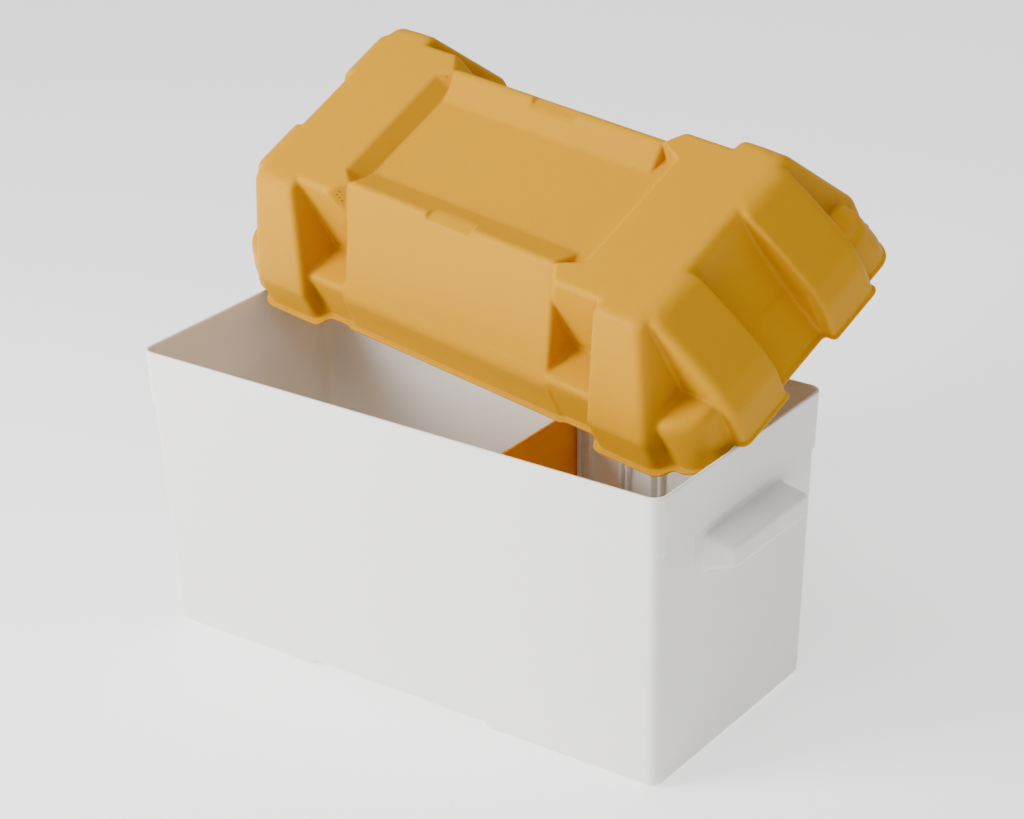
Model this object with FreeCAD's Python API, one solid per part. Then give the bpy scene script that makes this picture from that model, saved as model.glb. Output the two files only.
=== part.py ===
import FreeCAD, Part
import os
import math

# ---------------------------------------------------------------------------
# Open-topped storage case for a battery: tub, loose ribbed lid propped on the
# rim, and a divider plate standing in guide grooves. Millimetres, +Z up.
# The frame is the tub's: origin at the centre of the standing plane, +X along
# the length, -Y towards the front long wall.
# ---------------------------------------------------------------------------

V = FreeCAD.Vector

# Tub
RIM_X, RIM_Y, RIM_Z = 201.5, 94.2, 200.9       # outer half sizes at the rim, height
BOT_X, BOT_Y = 193.9, 86.5                      # outer half sizes at the standing plane
BAND_Z = 162.0                                 # underside of the upper band
BAND_STEP = 1.6                                # band stands out from the wall below
CORNER_R_TOP, CORNER_R_BOT = 9.5, 8.0
WALL = 2.4
FLOOR_T = 3.0
CHANNEL_X0, CHANNEL_X1 = -73.5, 64.5           # strap channel under the floor
CHANNEL_H = 5.0
CHANNEL_SLANT = 3.5

# Finger hoods at both ends
HOOD_Y0, HOOD_Y1 = -40.3, 49.7
HOOD_TOP_Z = 155.0
HOOD_OUT = 21.0
HOOD_LIP_Z = 138.0
HOOD_CAP_Z = 130.0
HOOD_T = 2.6

# Guide ribs on the inner long walls: (x0, x1)
GUIDE_RIBS = [(12.9, 15.9), (20.1, 23.9), (28.9, 31.9), (53.9, 56.1),
              (59.1, 61.3), (77.5, 80.5), (84.5, 87.5)]
GUIDE_TOP = 152.0
GUIDE_PROUD = 4.0

# Divider
DIV_X, DIV_T = 18.0, 2.4
DIV_TOP = 144.0
DIV_GAP = 0.5

# Lid, in its own frame: lip plane z = 0, plateau z = 96
LID_T = 2.3
PLATEAU_Z = 96.0
RECESS_Z, RECESS_X, RECESS_Y = 84.8, 95.5, 35.0
RIDGE_Y = 54.9
BEAM_X, BEAM_AT = 92.0, -4.0                      # half length and middle of the aprons
APRON_FOOT = (97.2, 30.0)
SHELF_Z = 35.5
SKIRT_X, SKIRT_Y0, SKIRT_Y1 = 204.3, 98.5, 97.3
BAR_X0, BAR_X1 = 106.0, 164.0
MID_FOOT = (190.0, 26.0)                           # end face between the ribs bends here
COL_FOOT_Z = 27.0
POCKET_Y = 66.5
COL_BOT = (127.5, 177.0, 108.2)
COL_TOP = (133.5, 171.5, 74.2)
COL_LIP_Y = 108.6
RIB_Y0, RIB_Y1 = 24.3, 67.0
NOTCH_X, NOTCH_D = 19.7, 3.5

# Propped pose of the lid: turn about the axis by the angle, then move
TILT_DEG = (28.991, 0.368, -9.338)                # rotation vector in degrees
LID_AT = (5.60, 84.27, 243.40)                 # lid frame's origin in the tub frame


# ------------------------------------------------------------------ helpers

def rounded_rect(hx, hy, r, z, cx=0.0, cy=0.0):
    """Closed wire of 4 lines and 4 arcs, always in the same order."""
    k = r * (1.0 - math.sqrt(0.5))
    x0, x1, y0, y1 = cx - hx, cx + hx, cy - hy, cy + hy
    e = [
        Part.makeLine(V(x0 + r, y0, z), V(x1 - r, y0, z)),
        Part.Arc(V(x1 - r, y0, z), V(x1 - k, y0 + k, z), V(x1, y0 + r, z)).toShape(),
        Part.makeLine(V(x1, y0 + r, z), V(x1, y1 - r, z)),
        Part.Arc(V(x1, y1 - r, z), V(x1 - k, y1 - k, z), V(x1 - r, y1, z)).toShape(),
        Part.makeLine(V(x1 - r, y1, z), V(x0 + r, y1, z)),
        Part.Arc(V(x0 + r, y1, z), V(x0 + k, y1 - k, z), V(x0, y1 - r, z)).toShape(),
        Part.makeLine(V(x0, y1 - r, z), V(x0, y0 + r, z)),
        Part.Arc(V(x0, y0 + r, z), V(x0 + k, y0 + k, z), V(x0 + r, y0, z)).toShape(),
    ]
    return Part.Wire(e)


def taper(a, b):
    """Solid between two rounded rectangles given as (hx, hy, r, z[, cx, cy])."""
    return Part.makeLoft([rounded_rect(*a), rounded_rect(*b)], True, True)


def prism(points, vec):
    """Polygon face pushed along vec."""
    pts = [V(*p) for p in points]
    return Part.Face(Part.makePolygon(pts + [pts[0]])).extrude(V(*vec))


def slab_xz(points, y0, y1):
    return prism([(x, y0, z) for x, z in points], (0, y1 - y0, 0))


def slab_yz(points, x0, x1):
    return prism([(x0, y, z) for y, z in points], (x1 - x0, 0, 0))


def box(x0, x1, y0, y1, z0, z1):
    return Part.makeBox(x1 - x0, y1 - y0, z1 - z0, V(x0, y0, z0))


def frustum(x0, x1, hy0, z0, x2, x3, hy1, z1):
    """Planar block between rectangle (x0..x1, +-hy0) at z0 and (x2..x3, +-hy1) at z1."""
    def w(xa, xb, h, z):
        p = [V(xa, -h, z), V(xb, -h, z), V(xb, h, z), V(xa, h, z)]
        return Part.makePolygon(p + [p[0]])
    return Part.makeLoft([w(x0, x1, hy0, z0), w(x2, x3, hy1, z1)], True, True)


def mirror_x(s):
    return s.mirror(V(0, 0, 0), V(1, 0, 0))


def mirror_y(s):
    return s.mirror(V(0, 0, 0), V(0, 1, 0))


def join(shapes):
    out = shapes[0].fuse(shapes[1:])
    return out.removeSplitter()


def lerp(a, b, t):
    return a + (b - a) * t


def offset_in(points, d):
    """Closed convex or concave polygon (counter-clockwise) moved inwards by d."""
    n = len(points)
    out = []
    for i in range(n):
        ax, ay = points[i - 1]
        bx, by = points[i]
        cx, cy = points[(i + 1) % n]
        u = (bx - ax, by - ay)
        v = (cx - bx, cy - by)
        lu, lv = math.hypot(*u), math.hypot(*v)
        n1 = (-u[1] / lu, u[0] / lu)
        n2 = (-v[1] / lv, v[0] / lv)
        k = 1.0 + n1[0] * n2[0] + n1[1] * n2[1]
        out.append((bx + d * (n1[0] + n2[0]) / k, by + d * (n1[1] + n2[1]) / k))
    return out


# ------------------------------------------------------------------- the tub

def low_half(z):
    """Outer half sizes of the wall below the band."""
    t = z / BAND_Z
    top_x = lerp(BOT_X, RIM_X, BAND_Z / RIM_Z) - BAND_STEP
    top_y = lerp(BOT_Y, RIM_Y, BAND_Z / RIM_Z) - BAND_STEP
    return lerp(BOT_X, top_x, t), lerp(BOT_Y, top_y, t)


def band_half(z):
    t = z / RIM_Z
    return lerp(BOT_X, RIM_X, t), lerp(BOT_Y, RIM_Y, t)


def inner_half(z):
    """Inner half sizes; the wall keeps its thickness through the band's step."""
    lo = low_half(min(z, BAND_Z))
    return lo[0] - WALL, lo[1] - WALL


def build_tub():
    lx, ly = low_half(BAND_Z + 1.6)
    bx, by = band_half(BAND_Z)
    c = 1.6                                              # rounded foot of the wall
    px, py = low_half(c)
    outer = join([
        taper((px - 1.3, py - 1.3, CORNER_R_BOT, 0.0), (px, py, CORNER_R_BOT, c)),
        taper((px, py, CORNER_R_BOT, c), (lx, ly, CORNER_R_TOP - 0.5, BAND_Z + 1.6)),
        taper((bx, by, CORNER_R_TOP, BAND_Z), (RIM_X, RIM_Y, CORNER_R_TOP, RIM_Z)),
    ])

    # the hollow
    f = inner_half(FLOOR_T)
    s = inner_half(BAND_Z - 2.0)
    b0, b1 = band_half(BAND_Z + 1.5), band_half(RIM_Z + 2.0)
    r0, r1 = CORNER_R_BOT - 2.0, CORNER_R_TOP - WALL
    hollow = join([
        taper((f[0] - 2.0, f[1] - 2.0, r0, FLOOR_T), (f[0] + 0.1, f[1] + 0.1, r0, FLOOR_T + 2.2)),
        taper((f[0] + 0.1, f[1] + 0.1, r0, FLOOR_T + 2.2), (s[0], s[1], r1, BAND_Z - 2.0)),
        taper((s[0], s[1], r1, BAND_Z - 2.0),
              (b0[0] - WALL, b0[1] - WALL, r1, BAND_Z + 1.5)),
        taper((b0[0] - WALL, b0[1] - WALL, r1, BAND_Z + 1.5),
              (b1[0] - WALL, b1[1] - WALL, r1, RIM_Z + 2.0)),
    ])

    # the floor rises over the strap channel
    raised = slab_xz([(CHANNEL_X0 - CHANNEL_SLANT - 2.6, FLOOR_T - 1.0),
                      (CHANNEL_X1 + CHANNEL_SLANT + 2.6, FLOOR_T - 1.0),
                      (CHANNEL_X1 + 2.6, FLOOR_T + CHANNEL_H),
                      (CHANNEL_X0 - 2.6, FLOOR_T + CHANNEL_H)], -BOT_Y - 5, BOT_Y + 5)
    hollow = hollow.cut(raised)

    # guide ribs left standing on both long walls
    ribs = []
    for x0, x1 in GUIDE_RIBS:
        def y_at(z):
            return inner_half(z)[1]
        pts = [(y_at(FLOOR_T) - GUIDE_PROUD, FLOOR_T - 0.5),
               (y_at(FLOOR_T) + 1.2, FLOOR_T - 0.5),
               (y_at(GUIDE_TOP) + 1.2, GUIDE_TOP + 2.5),
               (y_at(GUIDE_TOP) - 0.2, GUIDE_TOP + 2.5),
               (y_at(GUIDE_TOP) - GUIDE_PROUD, GUIDE_TOP - 1.5)]
        r = slab_yz(pts, x0, x1)
        ribs += [r, mirror_y(r)]
    hollow = hollow.cut(Part.makeCompound(ribs))
    tub = outer.cut(hollow)

    # strap channel
    channel = slab_xz([(CHANNEL_X0 - CHANNEL_SLANT, -1.0),
                       (CHANNEL_X1 + CHANNEL_SLANT, -1.0),
                       (CHANNEL_X1 + CHANNEL_SLANT, 0.0),
                       (CHANNEL_X1, CHANNEL_H),
                       (CHANNEL_X0, CHANNEL_H),
                       (CHANNEL_X0 - CHANNEL_SLANT, 0.0)], -110.0, 110.0)
    tub = tub.cut(channel)

    # finger hoods: a shell open below, carried on the end wall
    xw = low_half(HOOD_TOP_Z)[0] - 1.0
    xo = low_half(HOOD_TOP_Z)[0] + HOOD_OUT
    xl = low_half(HOOD_CAP_Z)[0] - 1.0
    profile = [(xl, HOOD_CAP_Z), (xo + 0.8, HOOD_LIP_Z), (xo, HOOD_TOP_Z - 4.2),
               (xo - 1.4, HOOD_TOP_Z - 2.7), (xw, HOOD_TOP_Z)]
    hood = slab_xz(profile, HOOD_Y0, HOOD_Y1)
    # rounded outer corners in plan
    plan = Part.Face(rounded_rect(60.0, (HOOD_Y1 - HOOD_Y0) / 2.0, 6.5, HOOD_CAP_Z - 5,
                                  xo + 0.8 - 60.0, (HOOD_Y0 + HOOD_Y1) / 2.0))
    hood = hood.common(plan.extrude(V(0, 0, 60)))
    void = slab_xz([(xl - 3, HOOD_CAP_Z - 12), (xo + 0.9 - HOOD_T, HOOD_CAP_Z - 12),
                    (xo + 0.9 - HOOD_T, HOOD_LIP_Z), (xo - HOOD_T, HOOD_TOP_Z - 6.2),
                    (xw - 2, HOOD_TOP_Z - HOOD_T - 0.3)],
                   HOOD_Y0 + HOOD_T, HOOD_Y1 - HOOD_T)
    vplan = Part.Face(rounded_rect(60.0, (HOOD_Y1 - HOOD_Y0) / 2.0 - HOOD_T, 4.2,
                                   HOOD_CAP_Z - 20, xo + 0.8 - HOOD_T - 60.0,
                                   (HOOD_Y0 + HOOD_Y1) / 2.0))
    void = void.common(vplan.extrude(V(0, 0, 80)))
    # keep only what lies outside the wall's own thickness
    keep = outer
    hood = hood.cut(void.cut(keep))
    hood = hood.cut(hollow)
    # small upright bead on the end wall beside each hood
    bead = slab_xz([(low_half(136.0)[0] - 1.0, 136.0), (low_half(136.0)[0] + 0.4, 137.5),
                    (low_half(158.0)[0] + 0.9, 158.0), (low_half(160.0)[0] + 0.9, BAND_Z + 1.0),
                    (low_half(160.0)[0] - 1.0, BAND_Z + 1.0)], -54.3, -52.5)
    right = [hood, bead.cut(hollow)]
    left = [mirror_x(s) for s in right]
    tub = tub.fuse(right + left).removeSplitter()
    return tub


# ----------------------------------------------------------------- the divider

def build_divider():
    z0 = FLOOR_T + CHANNEL_H + 0.4
    y0 = inner_half(z0)[1] - DIV_GAP
    y1 = inner_half(DIV_TOP)[1] - DIV_GAP
    pts = [(-y0 + 1.5, z0), (y0 - 1.5, z0), (y0, z0 + 1.5), (y1, DIV_TOP - 3.0),
           (y1 - 3.0, DIV_TOP), (-y1 + 3.0, DIV_TOP), (-y1, DIV_TOP - 3.0), (-y0, z0 + 1.5)]
    plate = slab_yz(pts, DIV_X - DIV_T / 2, DIV_X + DIV_T / 2)
    top = [e for e in plate.Edges
           if e.CenterOfMass.z > DIV_TOP - 0.01 and e.Length > 50]
    return plate.makeFillet(0.8, top)


# --------------------------------------------------------------------- the lid

def lid_outer(cut):
    """The lid's envelope as a union of blocks, moved inwards by cut (0 = outside)."""
    t = cut
    low = -2.0 if cut else 0.0
    parts = []
    # skirt: near upright, its corners drawn in under the shelves
    parts.append(taper((SKIRT_X - t, SKIRT_Y0 - t, 15.0 - t * 0.6, low),
                       (SKIRT_X - 0.3 - t, SKIRT_Y0 - 0.5 - t, 17.0 - t * 0.6, 14.0)))
    parts.append(taper((SKIRT_X - 0.3 - t, SKIRT_Y0 - 0.5 - t, 17.0 - t * 0.6, 14.0),
                       (SKIRT_X - 1.8 - t, SKIRT_Y0 - 2.4 - t, 22.0 - t * 0.6, 28.0 - t * 0.3)))
    parts.append(taper((SKIRT_X - 1.8 - t, SKIRT_Y0 - 2.4 - t, 22.0 - t * 0.6, 28.0 - t * 0.3),
                       (SKIRT_X - 7.0 - t, SKIRT_Y0 - 7.5 - t, 22.0 - t * 0.6, SHELF_Z - t)))
    # pocket shelves between the columns
    sh = [(-SKIRT_Y0 + t, low), (SKIRT_Y0 - t, low), (SKIRT_Y1 - t, SHELF_Z - 3.5 - t * 0.4),
          (SKIRT_Y1 - 2.2 - t * 0.6, SHELF_Z - t), (-SKIRT_Y1 + 2.2 + t * 0.6, SHELF_Z - t),
          (-SKIRT_Y1 + t, SHELF_Z - 3.5 - t * 0.4)]
    parts.append(slab_yz(sh, -150.0, 150.0))
    # sunken centre
    parts.append(box(-RECESS_X - 6, RECESS_X + 6, -POCKET_Y + t, POCKET_Y - t,
                     low, RECESS_Z - t))
    # end bars, their outer face set back between the ribs
    bend = (MID_FOOT[0] - t * 0.914, MID_FOOT[1] - t * 0.413)
    foot = (204.0 - low * 0.54 - t * 1.136, low)
    head = (BAR_X1 - t * 0.696, PLATEAU_Z - t)
    bar = [(80.0, low), foot, bend, head,
           (BAR_X0 + t * 0.41, PLATEAU_Z - t), (RECESS_X + t * 0.41, RECESS_Z - t),
           (80.0, RECESS_Z - t)]
    b = slab_xz(bar, -POCKET_Y + t, POCKET_Y - t)
    parts += [b, mirror_x(b)]
    # end ribs
    prof = [(150.0, low), (213.4 - t, low), (213.4 - t, 26.6 - t * 0.14),
            (209.0 - t * 0.93, 42.0 - t * 0.39), (196.0 - t * 0.85, 65.0 - t * 0.525),
            (175.0 - t * 0.53, PLATEAU_Z - t), (150.0, PLATEAU_Z - t)]
    r = slab_xz(prof, RIB_Y0 + t, RIB_Y1 - t)
    ribs = [r, mirror_x(r), mirror_y(r), mirror_y(mirror_x(r))]
    # columns
    k = frustum(COL_BOT[0] + t, COL_BOT[1] - t, COL_BOT[2] - t * 1.115, COL_FOOT_Z,
                COL_TOP[0] + t, COL_TOP[1] - t, COL_TOP[2] - t * 0.622, PLATEAU_Z - t)
    kl = frustum(COL_BOT[0] + t, COL_BOT[1] - t, COL_LIP_Y - t, low,
                 COL_BOT[0] + t, COL_BOT[1] - t, COL_BOT[2] - t * 1.115, COL_FOOT_Z)
    parts += [k, kl, mirror_x(k), mirror_x(kl)]
    body = join(parts)
    # nothing stands out beyond the end face between the ribs
    wedge = slab_xz([foot, (230.0, low), (230.0, PLATEAU_Z + 2), (head[0], PLATEAU_Z + 2),
                     head, bend], -RIB_Y0 - t, RIB_Y0 + t)
    wedge = wedge.fuse(slab_xz([(foot[0], low - 3), (230.0, low - 3), (230.0, low), foot],
                               -RIB_Y0 - t, RIB_Y0 + t))
    body = body.cut([wedge, mirror_x(wedge)])
    # aprons with their ridge; the recess wall leans the other way
    sec = [(0.0, low), (SKIRT_Y0 - 0.6, low), (APRON_FOOT[0] + 0.4, 26.0), APRON_FOOT,
           (RIDGE_Y + 0.8, PLATEAU_Z), (RIDGE_Y - 1.2, PLATEAU_Z),
           (RECESS_Y, RECESS_Z), (0.0, RECESS_Z)]
    if cut:
        s = offset_in(sec, t)
        s[0] = (0.0, low)
        s[1] = (s[1][0], low)
        s[-1] = (0.0, RECESS_Z - t)
        sec = s
    x0, x1 = BEAM_AT - BEAM_X + t, BEAM_AT + BEAM_X - t
    a = slab_yz(sec, x0, x1)
    # ... nor in front of the aprons
    front = slab_yz([sec[3], (130.0, sec[3][1]), (130.0, PLATEAU_Z), sec[4]], x0, x1)
    body = body.cut([front, mirror_y(front)])
    return join([body, a, mirror_y(a)] + ribs)


def lip_flange():
    f = [taper((SKIRT_X + 2.2, SKIRT_Y0 + 3.4, 16.0, 0.0), (SKIRT_X + 1.6, SKIRT_Y0 + 2.6, 15.4, 2.5))]
    k = frustum(125.2, 179.3, 111.2, 0.0, 125.6, 178.9, 110.6, 2.5)
    f += [k, mirror_x(k)]
    return join(f)


def build_lid():
    outer = lid_outer(0.0).fuse(lip_flange()).removeSplitter()
    inner = lid_outer(LID_T)
    # strap notches across both ridges
    nx = NOTCH_X
    zc = PLATEAU_Z - NOTCH_D
    cutter = slab_xz([(BEAM_AT - nx, zc), (BEAM_AT + nx, zc), (BEAM_AT + nx + 2.2, PLATEAU_Z + 3.0),
                      (BEAM_AT - nx - 2.2, PLATEAU_Z + 3.0)], -110.0, 110.0)
    keep = box(BEAM_AT - nx - 4.5, BEAM_AT + nx + 4.5, -110.0, 110.0, zc - LID_T, PLATEAU_Z + 3.0)
    keep = keep.cut(box(-300, 300, -RECESS_Y + 1.5, RECESS_Y - 1.5, 0, 200))
    lid = outer.cut(cutter).cut(inner.cut(keep))
    return lid


def propped(shape):
    rx, ry, rz = TILT_DEG
    ang = math.sqrt(rx * rx + ry * ry + rz * rz)
    s = shape.copy()
    s.rotate(V(0, 0, 0), V(rx, ry, rz), ang)
    s.translate(V(*LID_AT))
    return s


os.makedirs("parts", exist_ok=True)

tub = build_tub()
divider = build_divider()
lid = propped(build_lid())

for name, shape in (("tub", tub), ("divider", divider), ("lid", lid)):
    if shape.ShapeType == "Compound" and len(shape.Solids) == 1:
        shape = shape.Solids[0]
    print(name, shape.ShapeType, shape.isValid(), len(shape.Solids), len(shape.Faces),
          round(shape.Volume / 1000.0, 1), "cm3", shape.BoundBox)
    shape.exportStep("parts/%s.step" % name)
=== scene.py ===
import bpy
import bmesh
import math
import numpy as np
from mathutils import Matrix, Vector


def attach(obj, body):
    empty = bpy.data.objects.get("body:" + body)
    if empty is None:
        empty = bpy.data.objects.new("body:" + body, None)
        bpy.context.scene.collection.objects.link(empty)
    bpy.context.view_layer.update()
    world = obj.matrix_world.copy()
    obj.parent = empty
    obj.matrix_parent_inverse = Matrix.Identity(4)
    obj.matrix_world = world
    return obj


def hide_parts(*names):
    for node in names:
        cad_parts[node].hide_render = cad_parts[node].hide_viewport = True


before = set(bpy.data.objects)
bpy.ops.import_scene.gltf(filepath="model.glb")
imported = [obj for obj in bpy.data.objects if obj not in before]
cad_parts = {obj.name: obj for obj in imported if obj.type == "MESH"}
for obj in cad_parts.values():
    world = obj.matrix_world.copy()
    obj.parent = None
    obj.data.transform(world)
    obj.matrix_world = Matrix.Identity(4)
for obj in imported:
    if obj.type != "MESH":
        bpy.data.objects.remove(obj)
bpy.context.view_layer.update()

# ---------------------------------------------------------------------------
# Smooth solids: each moulding is a distance function in millimetres, meshed
# on a grid, thinned, and pulled back onto the exact surface.
# ---------------------------------------------------------------------------


def smax(a, b, k):
    h = np.maximum(k - np.abs(a - b), 0.0) / k
    return np.maximum(a, b) + h * h * k * 0.25


def smin(a, b, k):
    return -smax(-a, -b, k)


def smooth(x, a, b):
    t = np.clip((x - a) / (b - a), 0.0, 1.0)
    return t * t * (3.0 - 2.0 * t)


def line_d(u, v, p, q):
    """Distance to the line p->q in the (u, v) plane, positive on its left."""
    ex, ey = q[0] - p[0], q[1] - p[1]
    n = math.hypot(ex, ey)
    return (u - p[0]) * (-ey / n) + (v - p[1]) * (ex / n)


def rrect(x, y, hx, hy, r):
    qx, qy = np.abs(x) - (hx - r), np.abs(y) - (hy - r)
    return (np.hypot(np.maximum(qx, 0.0), np.maximum(qy, 0.0))
            + np.minimum(np.maximum(qx, qy), 0.0) - r)


def nets(f, lo, hi, h, mirror=(False, False)):
    """Surface nets of f over the box lo..hi. mirror: f is even in x / y, so only half is worked out."""
    ax = [np.arange(lo[i], hi[i] + h, h, dtype=np.float32) for i in range(3)]
    for i in (0, 1):
        if mirror[i]:
            ax[i] = np.arange(0.5 * h, hi[i] + h, h, dtype=np.float32)
    D = np.empty([len(a) for a in ax], np.float32)
    step = max(1, int(1.2e6 / (len(ax[1]) * len(ax[2]))))
    Y, Z = np.meshgrid(ax[1], ax[2], indexing="ij")
    for s in range(0, len(ax[0]), step):
        X = ax[0][s:s + step][:, None, None]
        D[s:s + step] = f(X + 0 * Y[None], Y[None] + 0 * X, Z[None] + 0 * X)
    for i in (0, 1):
        if mirror[i]:
            D = np.concatenate([np.flip(D, i), D], i)
            ax[i] = np.concatenate([-ax[i][::-1], ax[i]])
    o = np.array([a[0] for a in ax], float)
    S = D < 0
    n = S[:-1, :-1, :-1].astype(np.uint8)
    cnt = np.zeros_like(n)
    corners = [(i, j, k) for i in (0, 1) for j in (0, 1) for k in (0, 1)]
    nx, ny, nz = S.shape
    for i, j, k in corners:
        cnt += S[i:nx - 1 + i, j:ny - 1 + j, k:nz - 1 + k]
    cells = np.argwhere((cnt > 0) & (cnt < 8))
    idx = -np.ones((nx - 1, ny - 1, nz - 1), np.int32)
    idx[cells[:, 0], cells[:, 1], cells[:, 2]] = np.arange(len(cells), dtype=np.int32)
    val = {c: D[cells[:, 0] + c[0], cells[:, 1] + c[1], cells[:, 2] + c[2]] for c in corners}
    acc = np.zeros((len(cells), 3))
    num = np.zeros(len(cells))
    for a in corners:
        for axis in range(3):
            if a[axis]:
                continue
            b = list(a)
            b[axis] = 1
            da, db = val[a], val[tuple(b)]
            m = (da < 0) != (db < 0)
            t = np.where(m, da / np.where(m, da - db, 1.0), 0.0)
            for q in range(3):
                acc[:, q] += np.where(m, a[q] + (t if q == axis else 0.0), 0.0)
            num += m
    verts = o + (cells + acc / num[:, None]) * h
    faces = []
    for axis in range(3):
        u, v = [(1, 2), (2, 0), (0, 1)][axis]
        sl0 = [slice(None)] * 3
        sl1 = [slice(None)] * 3
        sl0[axis], sl1[axis] = slice(0, -1), slice(1, None)
        for q in (u, v):
            sl0[q] = slice(1, -1)
            sl1[q] = slice(1, -1)
        A, B = S[tuple(sl0)], S[tuple(sl1)]
        for sign in (0, 1):
            e = np.argwhere((A & ~B) if sign == 0 else (~A & B))
            base = e.copy()
            base[:, u] += 1
            base[:, v] += 1
            quad = []
            for du, dv in ((-1, -1), (0, -1), (0, 0), (-1, 0)):
                c = base.copy()
                c[:, u] += du
                c[:, v] += dv
                quad.append(idx[c[:, 0], c[:, 1], c[:, 2]])
            quad = np.stack(quad, 1)
            faces.append(quad if sign == 0 else quad[:, ::-1])
    return verts, np.concatenate(faces)


def gradient(f, p, e=0.08):
    g = np.empty_like(p)
    for i in range(3):
        q = p.copy()
        q[:, i] += e
        r = p.copy()
        r[:, i] -= e
        g[:, i] = (f(q[:, 0], q[:, 1], q[:, 2]) - f(r[:, 0], r[:, 1], r[:, 2])) / (2 * e)
    return g


def settle(f, p, turns=3, reach=1.0):
    """Moves points onto f = 0 along its gradient."""
    for _ in range(turns):
        d = f(p[:, 0], p[:, 1], p[:, 2])
        g = gradient(f, p)
        s = np.clip(d / np.maximum((g * g).sum(1), 0.15), -reach, reach)
        p = p - g * s[:, None]
    return p


def mesh_from(name, verts, faces):
    me = bpy.data.meshes.new(name)
    me.vertices.add(len(verts))
    me.vertices.foreach_set("co", np.ascontiguousarray(verts, np.float32).ravel())
    me.loops.add(faces.size)
    me.loops.foreach_set("vertex_index", np.ascontiguousarray(faces, np.int32).ravel())
    me.polygons.add(len(faces))
    me.polygons.foreach_set("loop_start", np.arange(0, faces.size, faces.shape[1], dtype=np.int32))
    me.update(calc_edges=True)
    me.validate()
    ob = bpy.data.objects.new(name, me)
    bpy.context.scene.collection.objects.link(ob)
    return ob


def moulding(name, f, lo, hi, h, target, mirror=(False, False)):
    """Object in millimetres of the solid f < 0."""
    v, q = nets(f, lo, hi, h, mirror)
    v = settle(f, v, 1, 0.6 * h)
    ob = mesh_from(name, v, q)
    tris = len(q) * 2
    if tris > target:
        mod = ob.modifiers.new("thin", "DECIMATE")
        mod.ratio = target / tris
        dg = bpy.context.evaluated_depsgraph_get()
        me = bpy.data.meshes.new_from_object(ob.evaluated_get(dg))
        old = ob.data
        ob.modifiers.clear()
        ob.data = me
        bpy.data.meshes.remove(old)
        ob.data.name = name
    me = ob.data
    p = np.empty(len(me.vertices) * 3, np.float32)
    me.vertices.foreach_get("co", p)
    p = settle(f, p.reshape(-1, 3).astype(float), 3, 0.3)
    me.vertices.foreach_set("co", p.astype(np.float32).ravel())
    me.update()
    return ob, p


def finish_mesh(ob, f, p, place):
    """Exact normals from f, then millimetres to metres through place (4x4)."""
    me = ob.data
    g = gradient(f, p)
    g /= np.maximum(np.linalg.norm(g, axis=1), 1e-9)[:, None]
    m = np.array(place)
    R = m[:3, :3] / np.cbrt(abs(np.linalg.det(m[:3, :3])))
    w = p @ m[:3, :3].T + m[:3, 3]
    me.vertices.foreach_set("co", w.astype(np.float32).ravel())
    me.polygons.foreach_set("use_smooth", np.ones(len(me.polygons), bool))
    me.update()
    me.normals_split_custom_set_from_vertices([tuple(x) for x in (g @ R.T)])
    return ob


# ------------------------------------------------------------------- the lid

LID_T = 2.3
SKIRT_X, SKIRT_Y = 204.3, 98.5
TILT = (28.991, 0.368, -9.338)
AT = (5.60, 84.27, 243.40)


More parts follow.
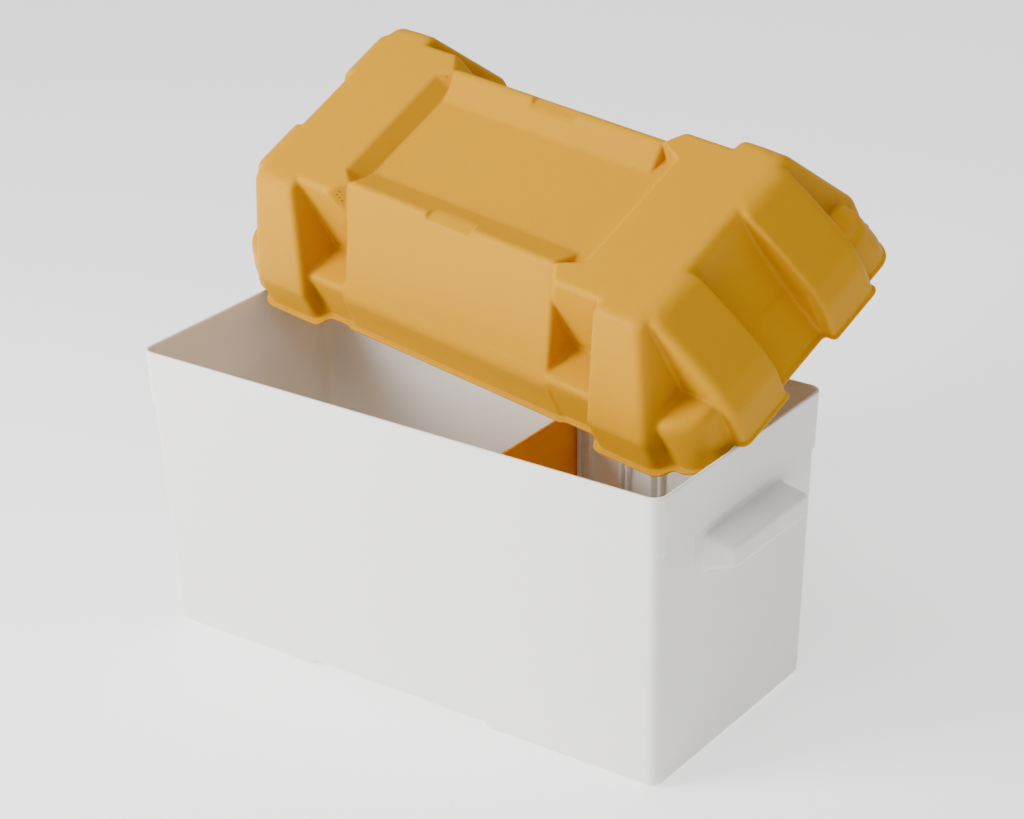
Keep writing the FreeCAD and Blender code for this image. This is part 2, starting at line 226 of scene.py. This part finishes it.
def lid_outer(x, y, z):
    X, Y = np.abs(x), np.abs(y)
    XB = np.abs(x + 4.0)
    # skirt under the shelves; its corners draw in towards the shelf
    corner = smooth(X, 150.0, 182.0) * smooth(Y, 56.0, 76.0)
    inset = 0.6 * corner * smooth(z, 8.0, 34.0)
    plan = rrect(X, Y, SKIRT_X - 0.015 * z - inset, SKIRT_Y - 0.03 * z - inset,
                 15.0 + 10.0 * smooth(z, 8.0, 34.0))
    skirt = smax(plan, z - 35.5, 5.0 + 3.0 * corner)
    # end faces: the middle one set back, the ribs standing out and bowed
    mid = smin(-line_d(X, z, (190.0, 26.0), (164.0, 96.0)),
               -line_d(X, z, (204.0, 0.0), (190.0, 26.0)), 4.0)
    ribp = smax(smax(-line_d(X, z, (196.0, 65.0), (175.0, 96.0)),
                     -line_d(X, z, (209.0, 42.0), (196.0, 65.0)), 0.5),
                -line_d(X, z, (213.0, 28.0), (209.0, 42.0)), 0.7)
    ribp = smax(ribp, X - 213.4, 1.0)
    outer = smin(smax(ribp, 24.3 - Y, 3.2), mid, 3.2)
    core = smax(outer, Y - 67.2 - 0.01 * (96.0 - z), 7.5)
    skirt = smax(skirt, outer, 2.5)
    # columns
    cin = line_d(X, z, (127.5, 27.0), (133.5, 96.0))
    cout = -line_d(X, z, (177.0, 27.0), (171.5, 96.0))
    cfront = smax(-line_d(Y, z, (108.2, 27.0), (74.2, 96.0)), Y - 108.3, 1.2)
    low = 1.0 - smooth(z, 2.0, 16.0)
    col = smax(smax(cfront, cin, 5.0 + 4.0 * low), cout, 8.0 + 4.0 * low)
    up = smax(smin(core, col, 2.6), z - 96.0, 5.0 + 3.0 * smooth(X, 148.0, 164.0))
    # the sunken centre between the end bars
    s = smooth(Y, 44.0, 56.0)
    Xc = (1.0 - s) * X + s * (XB + 15.0)
    cut = smax(84.8 - z, -line_d(Xc, z, (95.5, 84.8), (106.0, 96.0)), 0.8)
    up = smax(up, -cut, 1.8)
    # beams: recess wall inside, apron outside, the ridge between, a notch in its middle
    inner = line_d(Y, z, (35.0, 84.8), (55.0, 96.3))
    apron = -line_d(Y, z, (97.4, 30.0), (55.0, 96.3))
    up = smax(up, smin(apron + 1.0, 92.5 - XB + 0.9 * apron, 2.0), 2.5)
    beam = smax(smax(smax(inner, apron, 4.6), XB - 92.0, 3.6), Y - 98.2, 1.9)
    notch = smax(XB - 18.6 - 0.55 * (z - 92.2), 92.2 - z, 1.5)
    beam = smax(beam, -notch, 1.4)
    skirt = smax(skirt, smin(apron + 0.6, 92.0 - XB, 3.0), 2.5)
    return smin(smin(up, beam, 1.1), skirt, 2.6 + 4.5 * low * (1.0 - smooth(X, 176.0, 192.0)))


def lid_f(x, y, z):
    d = lid_outer(x, y, np.maximum(z, -1.0))
    lip = smax(d - 2.9 + 1.5 * smooth(np.abs(x), 188.0, 200.0), z - 2.1, 1.2)
    out = smin(d, lip, 1.6)
    return smax(smax(out, -(d + LID_T), 1.0), -z, 1.0)


# ------------------------------------------------------------------- the tub

RIM_X, RIM_Y, RIM_Z = 201.5, 94.2, 200.9
BOT_X, BOT_Y = 193.9, 86.5
BAND_Z, STEP, WALL = 162.0, 1.5, 2.4


def tub_outer(x, y, z):
    t = z / RIM_Z
    bx, by = BOT_X + (RIM_X - BOT_X) * t, BOT_Y + (RIM_Y - BOT_Y) * t
    r = 8.0 + 1.5 * np.clip(t, 0.0, 1.0)
    band = rrect(x, y, bx, by, r)
    low = band + STEP * np.clip(t / (BAND_Z / RIM_Z), 0.0, 1.0)
    return band, low


def tub_f(x, y, z):
    band, low = tub_outer(x, y, z)
    # outside: lower wall and the band that stands out from it
    body = smin(low, smax(band, BAND_Z - z, 0.8), 0.5)
    body = smax(body, -z, 5.0)
    # inside: follows the wall, easing out under the band
    ease = STEP * np.clip(z / BAND_Z, 0, 1) * (1.0 - smooth(z, 148.0, 176.0))
    hollow = band + ease + WALL
    chan = smax(smax(line_d(x, z, (-73.5, 5.0), (-77.0, 0.0)) * -1.0, z - 5.0, 1.2),
                -line_d(x, z, (68.0, 0.0), (64.5, 5.0)), 1.2)
    up = smin(chan - 2.6, z - 3.0, 3.0)          # top of the floor
    hollow = smax(hollow, -up, 7.0)
    # guide ribs on the long walls
    ribs = None
    yi = np.abs(y) - (BOT_Y + (RIM_Y - BOT_Y) * z / RIM_Z) + STEP * np.clip(z / BAND_Z, 0, 1) + WALL
    for a, b in ((12.9, 15.9), (20.1, 23.9), (28.9, 31.9), (53.9, 56.1), (59.1, 61.3),
                 (77.5, 80.5), (84.5, 87.5)):
        q = np.abs(x - 0.5 * (a + b)) - 0.5 * (b - a)
        ribs = q if ribs is None else np.minimum(ribs, q)
    rib = smax(smax(ribs, -yi - 4.0, 1.0), z - 152.0 - 0.6 * (yi + 4.0), 1.0)
    hollow = smax(hollow, -rib, 1.2)
    # the groove that the divider stands in
    slot = np.maximum(np.maximum(np.abs(x - 18.0) - 2.0, yi - 0.9), np.maximum(8.0 - z, z - 150.0))
    hollow = np.minimum(hollow, slot)
    # hoods
    X = np.abs(x)
    w = 196.5
    yc, yh = 4.7, 45.0
    pr = smax(smax(-line_d(X, z, (217.6, 151.5), (w, 155.0)),
                   X - 218.6 + 0.06 * (z - 138.0), 3.2),
              -z + 130.0 + (X - w) * 8.0 / 22.0, 1.6)
    sides = np.abs(y - yc) - yh
    hood = smax(pr, sides, 5.0)
    hv = smax(smax(-line_d(X, z, (217.6, 151.5), (w, 155.0)) + 2.6,
                   X - 216.0 + 0.06 * (z - 138.0), 2.6), sides + 2.6, 4.0)
    hood = smax(hood, -hv, 0.9)
    body = smin(body, hood, 2.4)
    bead = smax(np.abs(y + 53.4) - 0.9, -(z - 137.0), 1.5)
    body = smin(body, smax(smax(bead, low - 0.8, 0.8), z - 164.0, 0.5), 0.8)
    # strap channel under the floor
    body = smax(body, -chan, 1.6)
    return smax(smax(body, -hollow, 1.1), z - RIM_Z, 1.1)


def tub_mm(x, y, z):
    return tub_f(x, y, z)


def to_metres():
    return Matrix.Scale(0.001, 4)


def lid_place():
    a = Vector(TILT)
    R = Matrix.Rotation(math.radians(a.length), 4, a.normalized())
    return Matrix.Scale(0.001, 4) @ Matrix.Translation(Vector(AT)) @ R


h_lid, h_tub = ((1.15, 1.25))
lid, p = moulding("lid_shell", lid_f, (-219, -117, -2.2), (219, 117, 99), h_lid, 190000, (False, True))
finish_mesh(lid, lid_f, p, lid_place())
tub, p = moulding("tub_shell", tub_mm, (-224, -98, -3), (224, 98, 204), h_tub, 190000, (False, False))
finish_mesh(tub, tub_mm, p, to_metres())

for ob, body, node, slot in ((lid, "lid", "lid", "lid_plastic"), (tub, "tub", "tub", "tub_plastic")):
    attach(ob, body)
    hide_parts(node)

# ------------------------------------------------------------------- materials


def plastic(name, colour, rough, spec=0.15, sss=0.0, spot=0.02, radius=(1.0, 0.6, 0.25)):
    m = bpy.data.materials.new(name)
    m.use_nodes = True
    nt = m.node_tree
    b = nt.nodes["Principled BSDF"]
    b.inputs["IOR"].default_value = 1.49
    b.inputs["Specular IOR Level"].default_value = spec
    tc = nt.nodes.new("ShaderNodeTexCoord")
    n1 = nt.nodes.new("ShaderNodeTexNoise")
    n1.inputs["Scale"].default_value = 9.0
    n1.inputs["Detail"].default_value = 4.0
    nt.links.new(tc.outputs["Object"], n1.inputs["Vector"])
    r1 = nt.nodes.new("ShaderNodeMapRange")
    r1.inputs["To Min"].default_value = rough - 0.05
    r1.inputs["To Max"].default_value = rough + 0.06
    nt.links.new(n1.outputs["Fac"], r1.inputs["Value"])
    nt.links.new(r1.outputs["Result"], b.inputs["Roughness"])
    n2 = nt.nodes.new("ShaderNodeTexNoise")
    n2.inputs["Scale"].default_value = 1400.0
    n2.inputs["Detail"].default_value = 2.0
    nt.links.new(tc.outputs["Object"], n2.inputs["Vector"])
    bp = nt.nodes.new("ShaderNodeBump")
    bp.inputs["Strength"].default_value = 0.08
    bp.inputs["Distance"].default_value = 0.0004
    nt.links.new(n2.outputs["Fac"], bp.inputs["Height"])
    n3 = nt.nodes.new("ShaderNodeTexNoise")
    n3.inputs["Scale"].default_value = 14.0
    n3.inputs["Detail"].default_value = 1.0
    nt.links.new(tc.outputs["Object"], n3.inputs["Vector"])
    bp2 = nt.nodes.new("ShaderNodeBump")
    bp2.inputs["Strength"].default_value = 0.12
    bp2.inputs["Distance"].default_value = 0.0015
    nt.links.new(n3.outputs["Fac"], bp2.inputs["Height"])
    nt.links.new(bp.outputs["Normal"], bp2.inputs["Normal"])
    nt.links.new(bp2.outputs["Normal"], b.inputs["Normal"])
    mix = nt.nodes.new("ShaderNodeMix")
    mix.data_type = "RGBA"
    c2 = [max(0.0, c * (1.0 - spot * 2)) for c in colour]
    mix.inputs["A"].default_value = (*c2, 1)
    mix.inputs["B"].default_value = (*colour, 1)
    nt.links.new(n1.outputs["Fac"], mix.inputs["Factor"])
    nt.links.new(mix.outputs["Result"], b.inputs["Base Color"])
    if sss:
        b.inputs["Subsurface Weight"].default_value = sss
        b.inputs["Subsurface Scale"].default_value = 0.004
        b.inputs["Subsurface Radius"].default_value = radius
    return m


YELLOW = (0.55, 0.258, 0.0)
WHITE = (0.86, 0.85, 0.805)
m_lid = plastic("lid_yellow_pp", YELLOW, 0.42, 0.06, 0.25, radius=(1.0, 0.42, 0.03))
m_tub = plastic("tub_white_pp", WHITE, 0.40, 0.3, 0.1, radius=(1.0, 0.93, 0.85))
# divider: same yellow PP as the lid, but given a brighter, redder base colour to make up for the shade it stands
# in (painted light)
m_div_brightened_for_shade = plastic("divider_yellow_painted_light", (0.98, 0.375, 0.003), 0.45, 0.08, 0.3, radius=(1.0, 0.35, 0.03))
for ob, m in ((lid, m_lid), (tub, m_tub), (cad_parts["divider"], m_div_brightened_for_shade)):
    ob.data.materials.clear()
    ob.data.materials.append(m)

# ------------------------------------------------------------------- the set

bm = bmesh.new()
bmesh.ops.create_grid(bm, x_segments=1, y_segments=1, size=6.0)
me = bpy.data.meshes.new("floor")
bm.to_mesh(me)
bm.free()
floor = bpy.data.objects.new("floor", me)
bpy.context.scene.collection.objects.link(floor)
floor.location = (0, 0, -0.0002)
mf = bpy.data.materials.new("floor_pale")
mf.use_nodes = True
mf.node_tree.nodes["Principled BSDF"].inputs["Base Color"].default_value = (0.86, 0.86, 0.86, 1)
mf.node_tree.nodes["Principled BSDF"].inputs["Roughness"].default_value = 0.9
mf.node_tree.nodes["Principled BSDF"].inputs["Emission Color"].default_value = (1, 1, 1, 1)
mf.node_tree.nodes["Principled BSDF"].inputs["Emission Strength"].default_value = 0.95
floor.data.materials.append(mf)

world = bpy.data.worlds.new("studio")
bpy.context.scene.world = world
world.use_nodes = True
world.node_tree.nodes["Background"].inputs["Color"].default_value = (1, 1, 1, 1)
wt = world.node_tree
wc = wt.nodes.new("ShaderNodeTexCoord")
ws = wt.nodes.new("ShaderNodeSeparateXYZ")
wr = wt.nodes.new("ShaderNodeMapRange")
wr.inputs["From Min"].default_value = -1.0
wr.inputs["From Max"].default_value = 1.0
wr.inputs["To Min"].default_value = 0.78
wr.inputs["To Max"].default_value = 0.22
wt.links.new(wc.outputs["Generated"], ws.inputs["Vector"])
wt.links.new(ws.outputs["X"], wr.inputs["Value"])
wt.links.new(wr.outputs["Result"], wt.nodes["Background"].inputs["Strength"])


def area(name, loc, target, size, power, colour=(1, 1, 1)):
    l = bpy.data.lights.new(name, "AREA")
    l.shape = "RECTANGLE"
    l.size, l.size_y = size
    l.energy = power
    l.color = colour
    o = bpy.data.objects.new(name, l)
    o.location = loc
    o.rotation_mode = "QUATERNION"
    o.rotation_quaternion = (Vector(target) - Vector(loc)).to_track_quat("-Z", "Y")
    bpy.context.scene.collection.objects.link(o)
    return o


area("key", (-0.80, -1.12, 0.72), (-0.10, -0.05, 0.12), (0.6, 0.6), 35)
area("fill", (0.8, -1.3, 1.75), (0.05, 0, 0.2), (0.5, 0.5), 6)
area("top", (0.1, -0.25, 2.4), (0, 0, 0.2), (1.2, 1.2), 24)

# ------------------------------------------------------------------- the camera

cam = bpy.data.cameras.new("camera")
co = bpy.data.objects.new("camera", cam)
bpy.context.scene.collection.objects.link(co)
AZ, EL, ROLL = math.radians(36.4166), math.radians(24.6466), math.radians(-1.4794)
DIST = 4.1240 * 0.4
TARGET = Vector((0.07194 * 0.4 + 0.0015, -0.0013, 0.44970 * 0.4))
back = Vector((math.sin(AZ) * math.cos(EL), -math.cos(AZ) * math.cos(EL), math.sin(EL)))
fwd = -back
right = fwd.cross(Vector((0, 0, 1))).normalized()
up = right.cross(fwd)
r2 = right * math.cos(ROLL) + up * math.sin(ROLL)
u2 = -right * math.sin(ROLL) + up * math.cos(ROLL)
co.matrix_world = Matrix(((r2.x, u2.x, back.x, 0), (r2.y, u2.y, back.y, 0), (r2.z, u2.z, back.z, 0), (0, 0, 0, 1)))
co.location = TARGET + back * DIST
cam.sensor_fit = "HORIZONTAL"
cam.sensor_width = 36.0
cam.lens = 2608.77 * 36.0 / 1024.0
cam.clip_start, cam.clip_end = 0.05, 50
bpy.context.scene.camera = co
